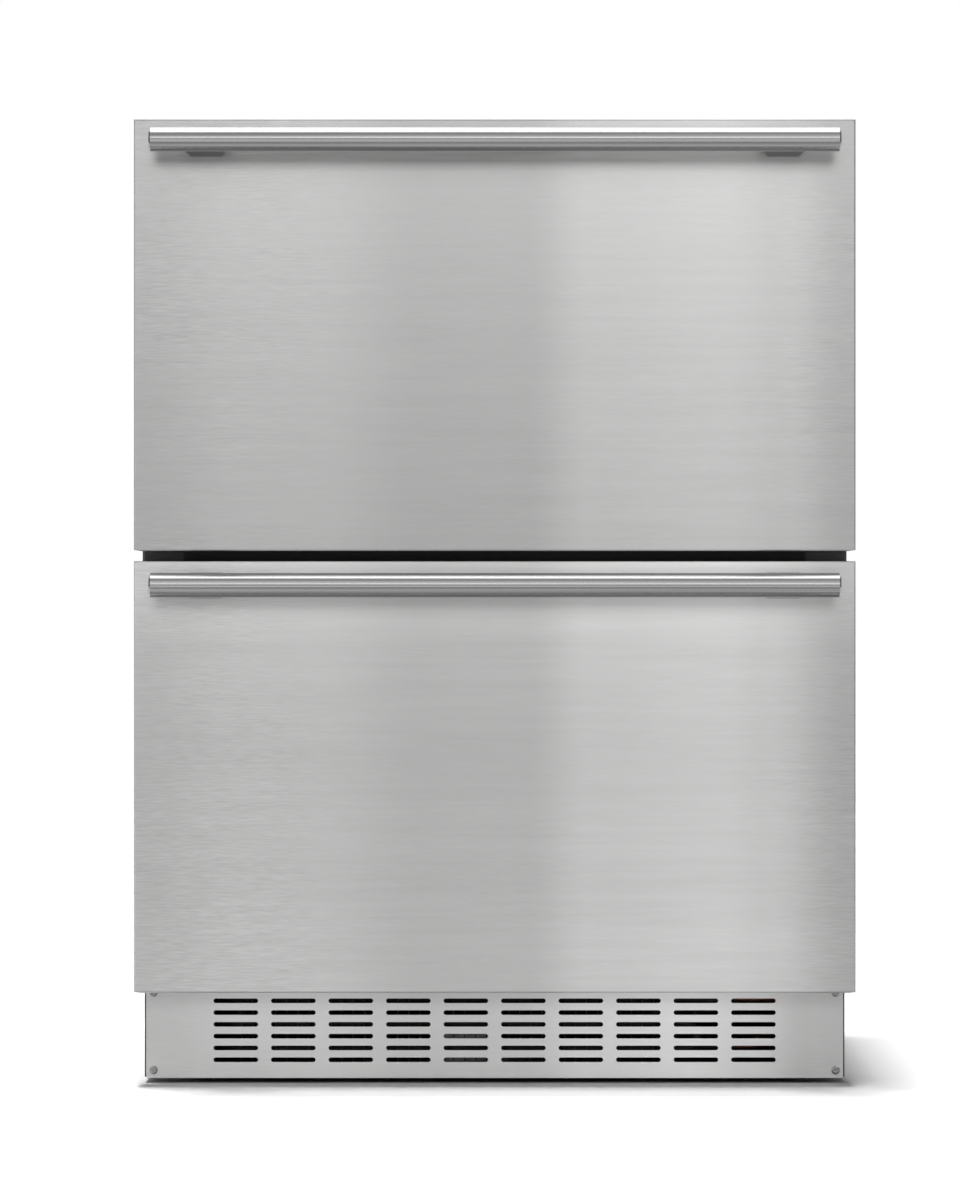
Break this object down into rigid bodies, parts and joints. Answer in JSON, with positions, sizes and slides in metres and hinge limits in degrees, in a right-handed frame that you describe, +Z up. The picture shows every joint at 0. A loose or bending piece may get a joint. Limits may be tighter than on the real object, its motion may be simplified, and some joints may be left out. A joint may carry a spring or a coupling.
{
  "type": "built-in freezer drawer unit",
  "caption": "Under-counter freezer with stacked stainless drawers on full-extension slides, round bar handles and a slotted kick grille.",
  "frame": {"origin": "on the floor, under the middle of the whole object's box", "axes": "+X to the right as seen from the front, the drawer fronts face -Y, +Z up"},
  "size_m": [0.596, 0.638, 0.8015],
  "materials": {
    "stainless": "satin",
    "handle_steel": "polished",
    "cabinet_paint": "satin",
    "frame_plastic": "satin",
    "liner_plastic": "satin",
    "bin_plastic": "satin",
    "insulation": "matte",
    "seal_rubber": "matte",
    "galvanised": "satin",
    "screw_steel": "satin",
    "compressor_shell": "satin",
    "mount_rubber": "matte",
    "coil_steel": "satin",
    "coil_aluminium": "satin",
    "copper": "satin",
    "dark_plastic": "satin",
    "motor_can": "satin",
    "lens_plastic": "satin",
    "panel_plastic": "gloss",
    "foot_plastic": "matte",
    "ball_steel": "polished"
  },
  "bodies": {
    "cabinet": {"cabinet_wrap": "cabinet_paint", "cabinet_foam": "insulation", "cabinet_liner": "liner_plastic", "front_frame": "frame_plastic", "bottom_deck": "galvanised", "back_panel": "galvanised", "base_pan": "cabinet_paint", "kick_grille": "stainless", "machine_cover": "galvanised", "cabinet_screws": "screw_steel", "outer_rails": "galvanised", "compressor": "compressor_shell", "compressor_grommets": "mount_rubber", "condenser": "coil_steel", "condenser_fan_shroud": "dark_plastic", "condenser_fan_motor": "motor_can", "discharge_line": "copper", "liquid_line": "copper", "suction_line": "copper", "evaporator": "coil_aluminium", "evaporator_cover": "liner_plastic", "evaporator_fan_motor": "dark_plastic", "drain_trough": "liner_plastic", "drip_pan": "dark_plastic", "control_box": "dark_plastic", "power_inlet": "dark_plastic", "control_panel": "panel_plastic", "light_lens": "lens_plastic"},
    "upper_drawer": {"upper_front_skin": "stainless", "upper_front_foam": "insulation", "upper_front_liner": "liner_plastic", "upper_gasket": "seal_rubber", "upper_handle_bar": "handle_steel", "upper_handle_posts": "handle_steel", "upper_handle_screws": "screw_steel", "upper_bin": "bin_plastic", "upper_side_brackets": "galvanised", "upper_inner_rails": "galvanised"},
    "upper_middle_rails": {"upper_middle_rails": "galvanised"},
    "upper_outer_ball_strips": {"upper_outer_ball_strips": "ball_steel"},
    "upper_inner_ball_strips": {"upper_inner_ball_strips": "ball_steel"},
    "lower_drawer": {"lower_front_skin": "stainless", "lower_front_foam": "insulation", "lower_front_liner": "liner_plastic", "lower_gasket": "seal_rubber", "lower_handle_bar": "handle_steel", "lower_handle_posts": "handle_steel", "lower_handle_screws": "screw_steel", "lower_bin": "bin_plastic", "lower_side_brackets": "galvanised", "lower_inner_rails": "galvanised"},
    "lower_middle_rails": {"lower_middle_rails": "galvanised"},
    "lower_outer_ball_strips": {"lower_outer_ball_strips": "ball_steel"},
    "lower_inner_ball_strips": {"lower_inner_ball_strips": "ball_steel"},
    "foot_front_left": {"foot_front_left": "foot_plastic"},
    "foot_front_right": {"foot_front_right": "foot_plastic"},
    "foot_rear_left": {"foot_rear_left": "foot_plastic"},
    "foot_rear_right": {"foot_rear_right": "foot_plastic"},
    "condenser_fan": {"condenser_fan": "dark_plastic"},
    "evaporator_fan": {"evaporator_fan": "liner_plastic"}
  },
  "joints": [
    {"name": "upper_drawer_slide", "type": "slide", "parent": "cabinet", "child": "upper_drawer", "axis": [0, -1, 0], "range_m": [0, 0.38]},
    {"name": "upper_middle_rails_slide", "type": "slide", "parent": "cabinet", "child": "upper_middle_rails", "axis": [0, -1, 0], "range_m": [0, 0.19]},
    {"name": "upper_outer_ball_strips_slide", "type": "slide", "parent": "cabinet", "child": "upper_outer_ball_strips", "axis": [0, -1, 0], "range_m": [0, 0.095]},
    {"name": "upper_inner_ball_strips_slide", "type": "slide", "parent": "cabinet", "child": "upper_inner_ball_strips", "axis": [0, -1, 0], "range_m": [0, 0.285]},
    {"name": "lower_drawer_slide", "type": "slide", "parent": "cabinet", "child": "lower_drawer", "axis": [0, -1, 0], "range_m": [0, 0.38]},
    {"name": "lower_middle_rails_slide", "type": "slide", "parent": "cabinet", "child": "lower_middle_rails", "axis": [0, -1, 0], "range_m": [0, 0.19]},
    {"name": "lower_outer_ball_strips_slide", "type": "slide", "parent": "cabinet", "child": "lower_outer_ball_strips", "axis": [0, -1, 0], "range_m": [0, 0.095]},
    {"name": "lower_inner_ball_strips_slide", "type": "slide", "parent": "cabinet", "child": "lower_inner_ball_strips", "axis": [0, -1, 0], "range_m": [0, 0.285]},
    {"name": "foot_front_left_height", "type": "slide", "parent": "cabinet", "child": "foot_front_left", "axis": [0, 0, -1], "range_m": [0, 0.025]},
    {"name": "foot_front_right_height", "type": "slide", "parent": "cabinet", "child": "foot_front_right", "axis": [0, 0, -1], "range_m": [0, 0.025]},
    {"name": "foot_rear_left_height", "type": "slide", "parent": "cabinet", "child": "foot_rear_left", "axis": [0, 0, -1], "range_m": [0, 0.025]},
    {"name": "foot_rear_right_height", "type": "slide", "parent": "cabinet", "child": "foot_rear_right", "axis": [0, 0, -1], "range_m": [0, 0.025]},
    {"name": "condenser_fan_spin", "type": "hinge", "parent": "cabinet", "child": "condenser_fan", "pos_m": [-0.13, 0.144, 0.1], "axis": [0, 1, 0], "continuous": true},
    {"name": "evaporator_fan_spin", "type": "hinge", "parent": "cabinet", "child": "evaporator_fan", "pos_m": [0, 0.228, 0.52], "axis": [0, 1, 0], "continuous": true}
  ],
  "couplings": [
    {"joint": "upper_middle_rails_slide", "follows": "upper_drawer_slide", "ratio": 0.5},
    {"joint": "upper_outer_ball_strips_slide", "follows": "upper_drawer_slide", "ratio": 0.25},
    {"joint": "upper_inner_ball_strips_slide", "follows": "upper_drawer_slide", "ratio": 0.75},
    {"joint": "lower_middle_rails_slide", "follows": "lower_drawer_slide", "ratio": 0.5},
    {"joint": "lower_outer_ball_strips_slide", "follows": "lower_drawer_slide", "ratio": 0.25},
    {"joint": "lower_inner_ball_strips_slide", "follows": "lower_drawer_slide", "ratio": 0.75}
  ]
}
